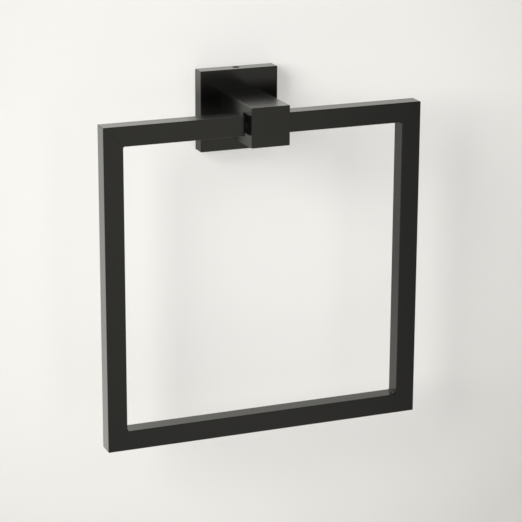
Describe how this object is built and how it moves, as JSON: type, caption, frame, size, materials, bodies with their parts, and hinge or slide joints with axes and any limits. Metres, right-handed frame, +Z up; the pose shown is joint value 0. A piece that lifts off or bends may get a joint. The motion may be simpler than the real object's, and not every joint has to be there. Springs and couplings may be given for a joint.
{
  "type": "towel ring",
  "caption": "Square towel ring of black coated tube that swings on pins in a square post, which stands out from a square wall cover over a hidden bracket.",
  "frame": {"origin": "on the wall, at the middle of the bracket's two screw holes, behind the middle of the cover and in line with the post's middle", "axes": "+X to the right of someone who faces the wall, +Y into the wall, +Z up; the post stands out along -Y and the ring hangs down along -Z"},
  "size_m": [0.2, 0.06, 0.2162],
  "materials": {
    "black_coat": "satin black powder coat",
    "bright_steel": "ground stainless steel",
    "zinc_steel": "zinc plated steel",
    "black_screw": "black oxide steel",
    "black_nylon": "moulded black nylon"
  },
  "bodies": {
    "wall_mount": {"wall_bracket": "zinc_steel", "cover": "black_coat", "cover_set_screw": "black_screw", "post": "black_coat", "post_screw": "zinc_steel", "lock_washer": "zinc_steel", "left_bush": "black_nylon", "right_bush": "black_nylon"},
    "ring": {"ring_tube": "black_coat", "left_end_plug": "black_coat", "right_end_plug": "black_coat", "left_pin": "bright_steel", "right_pin": "bright_steel"}
  },
  "joints": [
    {"name": "ring_swing", "type": "hinge", "parent": "wall_mount", "child": "ring", "pos_m": [0, -0.04765, 0], "axis": [1, 0, 0], "range_deg": [-190, 12]}
  ]
}
